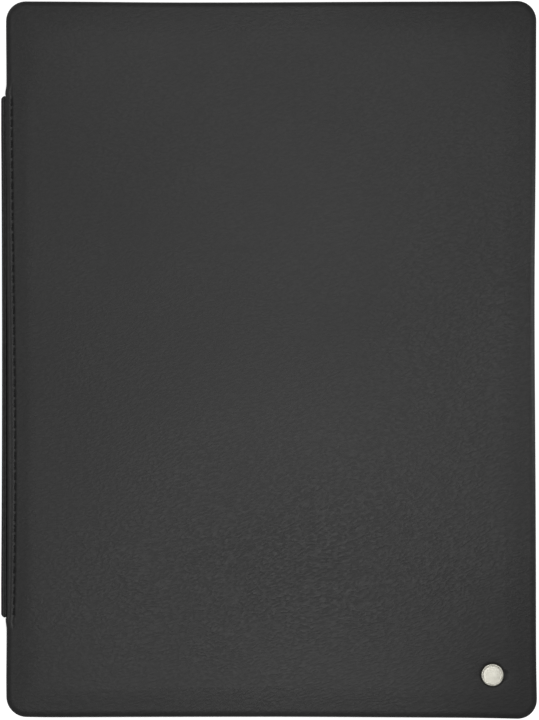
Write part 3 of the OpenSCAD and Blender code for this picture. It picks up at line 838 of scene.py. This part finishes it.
def stitch_row(name, at, level, up, sink, r, mat, body, node):
    """One row of stitches: at(y) gives x, level(y) the surface; up is the side the thread lies on."""
    bd = Build()
    for upper in up:
        for i in range(STITCHES):
            ya, yb = ROW0 + (i + 0.15) * PITCH, ROW0 + (i + 0.85) * PITCH
            u = np.concatenate([[0, 0.02, 0.05], np.linspace(0.1, 0.9, 11), [0.95, 0.98, 1]])
            y = ya + (yb - ya) * u
            slant = rng.normal(0.16, 0.04)
            x = at(y) + slant * (u - 0.5) * upper + rng.normal(0, 0.04)
            ride = r * (0.42 + 0.20 * (1 - (2 * u - 1) ** 2)) - sink * np.clip(np.abs(2 * u - 1) - 0.84, 0, 1) / 0.16
            z = level(y, upper) + upper * ride
            thread(bd, np.column_stack([x, y, z]), r, 2.4, rng.uniform(0, 6.28))
    return piece(name, bd, mat, body, [node], angle=80, merge=1e-9)


def cover_level(y, upper):
    if upper < 0:
        return np.full(len(y), Z_COV)
    x = row_in(y) - sewn_in(y) - CV_W
    dz, zone = flange(x, y, holes=False)
    return crown(x, y) + dz - shoulder(x, x + CV_W, zone) + 0.04


def rear_level(y, upper):
    if upper < 0:
        return np.full(len(y), 0.64)
    return np.full(len(y), 1.6)


# ---------------------------------------------------------------------- badge
def make_badge():
    """Plain turned disc with a raised rim, its post and peened end."""
    prof = [(0.0, 17.60), (1.0, 17.597), (2.0, 17.585), (2.9, 17.565), (3.5, 17.545), (3.72, 17.54), (3.82, 17.55), (3.90, 17.60), (3.98, 17.66),
            (4.08, 17.69), (4.2, 17.70), (4.34, 17.685), (4.46, 17.64), (4.55, 17.56), (4.6, 17.44), (4.6, 17.0), (4.55, 16.92),
            (4.45, 16.9), (1.3, 16.9), (1.25, 16.85), (1.25, 16.0), (1.72, 16.0), (1.8, 15.92), (1.78, 15.8), (1.6, 15.75), (0.0, 15.75)]
    k = 96
    ang = np.linspace(0, 2 * np.pi, k, endpoint=False)
    p = np.array([[(BD_X + r * math.cos(t), BD_Y + r * math.sin(t), z) for t in ang] for r, z in prof])
    bd = Build()
    bd.grid(p, closed_v=True)
    return piece("badge_disc_plain", bd, MAT_BADGE, "cover", ["badge_disc"], angle=40)


# ------------------------------------------------------------------- assembly
make_cover()
lin = soft_plate("cover_lining_sheet", 106.4, 145.4, 4.2, CV_X, Z_COV, Z_HEM, MAT_FIBRE, "cover", "cover_lining")
rl = soft_plate("rear_lining_sheet", 103.5, 142.5, 5.0, 0.0, 2.8, SEAT, MAT_FIBRE, "rear_tray", "rear_lining", hole=(31.0, 16.0))
make_rear_leather()
make_edge_band()
make_spine()
make_flaps()
make_spine_lining()
stitch_row("cover_stitching_thread", lambda y: CV_X - CV_W + row_in(y), cover_level, (1, -1), 0.9, 0.33, MAT_THREAD, "cover", "cover_stitching")
stitch_row("rear_stitching_thread", lambda y: np.full(len(y), REAR_ROW), rear_level, (-1, 1), 0.7, 0.38, MAT_THREAD, "rear_tray", "rear_stitching")
make_badge()

# pieces that keep their shape
for name, mat in (("rear_shell", MAT_SHELL), ("cover_board", MAT_BOARD), ("spine_board", MAT_BOARD), ("cover_foam", MAT_FOAM),
                  ("closure_magnets", MAT_NICKEL), ("sleep_magnet", MAT_NICKEL), ("badge_washer", MAT_NICKEL)):
    o = nodes[name]
    o.data.materials.clear()
    o.data.materials.append(mat)

# -------------------------------------------------------------- floor, light
def stage_plane(name, x0, x1, y0, y1, z, mat):
    me = bpy.data.meshes.new(name)
    me.from_pydata([(x0, y0, z), (x1, y0, z), (x1, y1, z), (x0, y1, z)], [], [(0, 1, 2, 3)])
    o = bpy.data.objects.new(name, me)
    bpy.context.scene.collection.objects.link(o)
    me.materials.append(mat)
    return o


def stage_material(name, shade):
    """Seen from above only. shade makes what the camera sees; light passes through."""
    m = bpy.data.materials.new(name)
    m.use_nodes = True
    nt = m.node_tree
    for n in list(nt.nodes):
        nt.nodes.remove(n)
    out = nt.nodes.new("ShaderNodeOutputMaterial")
    geo = nt.nodes.new("ShaderNodeNewGeometry")
    ray = nt.nodes.new("ShaderNodeLightPath")
    front = nt.nodes.new("ShaderNodeMath")
    front.operation = "SUBTRACT"
    front.use_clamp = True
    mix = nt.nodes.new("ShaderNodeMixShader")
    tra = nt.nodes.new("ShaderNodeBsdfTransparent")
    nt.links.new(ray.outputs["Is Camera Ray"], front.inputs[0])
    nt.links.new(geo.outputs["Backfacing"], front.inputs[1])
    nt.links.new(front.outputs[0], mix.inputs[0])
    nt.links.new(tra.outputs[0], mix.inputs[1])
    nt.links.new(shade(nt), mix.inputs[2])
    nt.links.new(mix.outputs[0], out.inputs[0])
    return m


def pale(nt):
    """Pale floor with faint shadows."""
    add = nt.nodes.new("ShaderNodeAddShader")
    dif = nt.nodes.new("ShaderNodeBsdfDiffuse")
    emi = nt.nodes.new("ShaderNodeEmission")
    dif.inputs["Color"].default_value = (0.72, 0.72, 0.72, 1)
    emi.inputs["Color"].default_value = (1, 1, 1, 1)
    emi.inputs["Strength"].default_value = 0.95
    nt.links.new(dif.outputs[0], add.inputs[0])
    nt.links.new(emi.outputs[0], add.inputs[1])
    return add.outputs[0]


def contact(nt):
    """Clear sheet that only darkens where the part stands close over it."""
    ao = nt.nodes.new("ShaderNodeAmbientOcclusion")
    ao.samples = 16
    ao.inputs["Distance"].default_value = 0.06
    tone = nt.nodes.new("ShaderNodeValToRGB")
    for pos, val in ((0.0, 0.16), (0.20, 0.30), (0.45, 0.74), (0.62, 0.945), (0.75, 0.98), (0.90, 0.998), (1.0, 1.0)):
        el = tone.color_ramp.elements.new(pos) if pos not in (0.0, 1.0) else tone.color_ramp.elements[0 if pos == 0.0 else -1]
        el.color = (val, val, val, 1)
    tra = nt.nodes.new("ShaderNodeBsdfTransparent")
    nt.links.new(ao.outputs["AO"], tone.inputs["Fac"])
    nt.links.new(tone.outputs["Color"], tra.inputs["Color"])
    return tra.outputs[0]


# the floor is low enough for the cover to fold flat behind the tray; a clear sheet holds the shadow under the part
stage_plane("floor", -3.0, 3.0, -3.0, 3.0, -0.0168, stage_material("floor_mat", pale))
stage_plane("shadow_sheet", -0.8, 0.8, -0.6, 0.6, -0.0002, stage_material("shadow_mat", contact))

# studio: bright overhead and round the floor, dimmer between; the camera sees it as white
world = bpy.data.worlds.new("studio")
bpy.context.scene.world = world
world.use_nodes = True
wt = world.node_tree
bg = wt.nodes["Background"]
wc = wt.nodes.new("ShaderNodeTexCoord")
ws = wt.nodes.new("ShaderNodeSeparateXYZ")
wt.links.new(wc.outputs["Generated"], ws.inputs[0])
wr = wt.nodes.new("ShaderNodeValToRGB")
wm = wt.nodes.new("ShaderNodeMapRange")
wm.inputs["From Min"].default_value = -1.0
wm.inputs["From Max"].default_value = 1.0
wt.links.new(ws.outputs["Z"], wm.inputs["Value"])
wt.links.new(wm.outputs["Result"], wr.inputs["Fac"])
ramp = wr.color_ramp
for pos, val in ((0.0, 0.50), (0.42, 0.48), (0.50, 0.44), (0.60, 0.34), (0.70, 0.23), (0.80, 0.17), (0.88, 0.20), (0.96, 0.26), (1.0, 0.30)):
    el = ramp.elements.new(pos) if pos not in (0.0, 1.0) else ramp.elements[0 if pos == 0.0 else len(ramp.elements) - 1]
    el.color = (val, val, val, 1)
glow = wr.outputs["Color"]
# two broad soft panels, low to the back left and to the front right, that show in the leather from the side
for toward, inner, outer, gain in (((-0.64, 0.64, 0.42), 6, 30, 0.55), ((0.66, -0.66, 0.27), 5, 24, 0.35)):
    dot = wt.nodes.new("ShaderNodeVectorMath")
    dot.operation = "DOT_PRODUCT"
    wt.links.new(wc.outputs["Generated"], dot.inputs[0])
    dot.inputs[1].default_value = Vector(toward).normalized()
    near = wt.nodes.new("ShaderNodeMapRange")
    near.interpolation_type = "SMOOTHSTEP"
    wt.links.new(dot.outputs["Value"], near.inputs["Value"])
    near.inputs["From Min"].default_value = math.cos(math.radians(outer))
    near.inputs["From Max"].default_value = math.cos(math.radians(inner))
    near.inputs["To Max"].default_value = gain
    both = wt.nodes.new("ShaderNodeMath")
    wt.links.new(glow, both.inputs[0])
    wt.links.new(near.outputs["Result"], both.inputs[1])
    glow = both.outputs[0]
wt.links.new(glow, bg.inputs["Color"])
bg.inputs["Strength"].default_value = 1.0
seen = wt.nodes.new("ShaderNodeBackground")
seen.inputs["Color"].default_value = (1, 1, 1, 1)
path = wt.nodes.new("ShaderNodeLightPath")
both = wt.nodes.new("ShaderNodeMixShader")
wt.links.new(path.outputs["Is Camera Ray"], both.inputs[0])
wt.links.new(bg.outputs[0], both.inputs[1])
wt.links.new(seen.outputs[0], both.inputs[2])
wt.links.new(both.outputs[0], wt.nodes["World Output"].inputs["Surface"])


def softbox(name, at, target, size, watts):
    li = bpy.data.lights.new(name, "AREA")
    li.shape = "RECTANGLE"
    li.size, li.size_y = size
    li.energy = watts
    o = bpy.data.objects.new(name, li)
    bpy.context.scene.collection.objects.link(o)
    o.location = at
    o.rotation_mode = "QUATERNION"
    o.rotation_quaternion = (Vector(target) - Vector(at)).to_track_quat("-Z", "Y")
    o.visible_camera = False
    return o


for name, x, y, watts in (("overhead", 0.0, -0.22, 1.06), ("front", 0.0, -0.36, 0.43), ("right", 0.22, 0.12, 0.27),
                          ("back", 0.0, 0.32, 0.45), ("back_far", 0.0, 0.52, 0.37), ("back_left", -0.22, 0.52, 0.36)):
    softbox(name, (x, y, 1.35), (x, y, 0), (0.22, 0.22), watts)
softbox("edge_kick", (0.32, 0.02, 0.20), (0.1, 0.01, 0.016), (0.10, 0.20), 0.135)
softbox("under_fill", (0.1, -0.2, -1.3), (0, 0, 0), (1.0, 1.0), 8.0)

view = bpy.context.scene.view_settings
view.view_transform = "Standard"
view.look = "None"
view.exposure = 0.0
view.gamma = 1.0

cam = bpy.data.cameras.new("camera")
cam.lens = 120
cam.sensor_width = 36
cam.dof.use_dof = False
cam_o = bpy.data.objects.new("camera", cam)
bpy.context.scene.collection.objects.link(cam_o)
cam_o.location = (0.00037, -0.00014, 0.0154 + 1.0013)
cam_o.rotation_euler = (0, 0, 0)
cam.clip_start, cam.clip_end = 0.01, 50
bpy.context.scene.camera = cam_o
